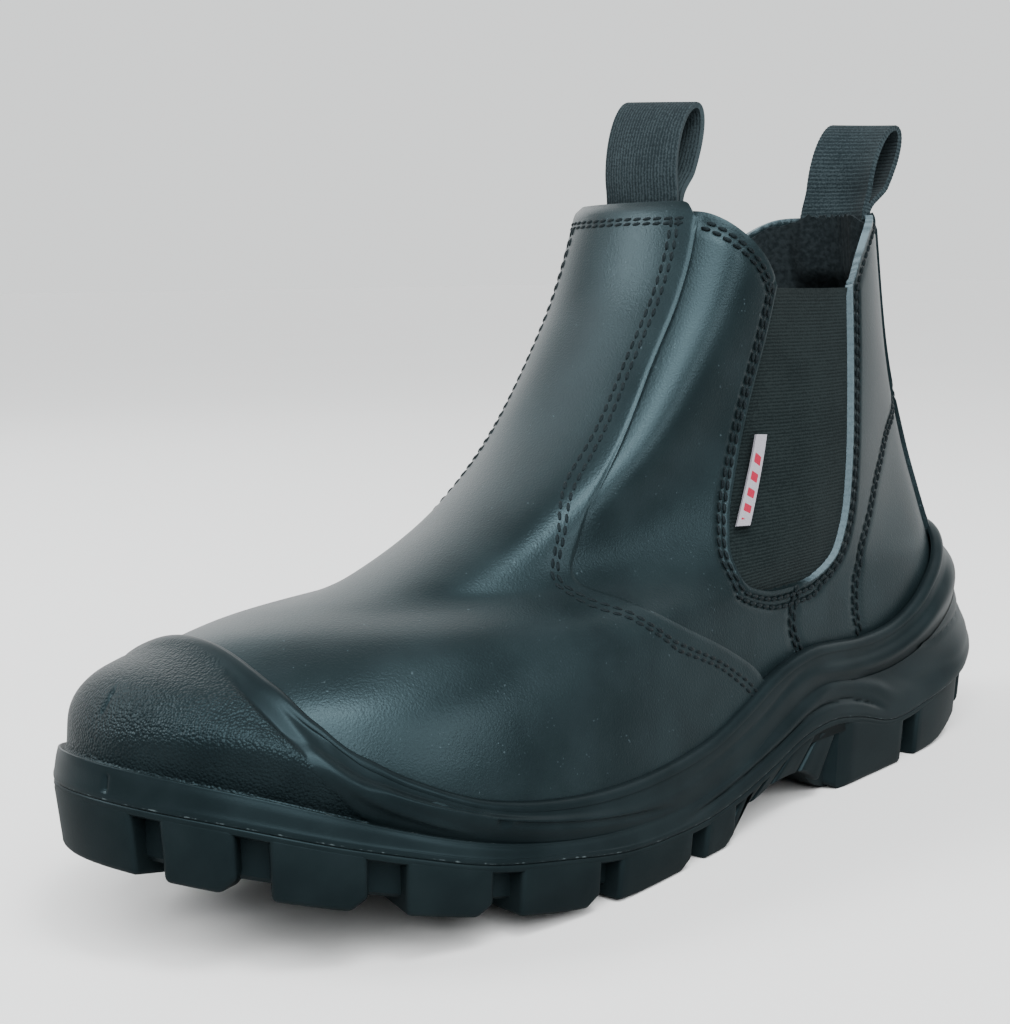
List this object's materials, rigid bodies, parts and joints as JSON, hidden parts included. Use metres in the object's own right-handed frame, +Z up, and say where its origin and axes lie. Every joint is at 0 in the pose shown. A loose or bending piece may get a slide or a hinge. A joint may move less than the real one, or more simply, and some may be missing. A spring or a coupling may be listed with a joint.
{
  "type": "work shoe",
  "caption": "Slip-on ankle work shoe with a leather upper, elastic side panels, webbing pull loops, a moulded toe guard and a lugged sole.",
  "frame": {"origin": "middle of the bounding box at the ground plane", "axes": "+X to the toe, +Y to the outer side of this left shoe, +Z up"},
  "size_m": [0.305, 0.1078, 0.1854],
  "materials": {
    "outsole": "semi-matte moulded",
    "midsole": "satin moulded foam skin",
    "upper": "smooth satin",
    "vamp_overlay": "smooth satin",
    "heel_strip": "smooth satin",
    "gusset_lateral": "ribbed elastic",
    "gusset_medial": "ribbed elastic",
    "pull_loop_front": "ribbed webbing",
    "pull_loop_rear": "ribbed webbing",
    "side_tag": "woven",
    "insole": "matte textile"
  },
  "bodies": {
    "root": {"outsole": "outsole", "midsole": "midsole", "upper": "upper", "vamp_overlay": "vamp_overlay", "heel_strip": "heel_strip", "gusset_lateral": "gusset_lateral", "gusset_medial": "gusset_medial", "pull_loop_front": "pull_loop_front", "pull_loop_rear": "pull_loop_rear", "side_tag": "side_tag", "insole": "insole"}
  },
  "joints": []
}
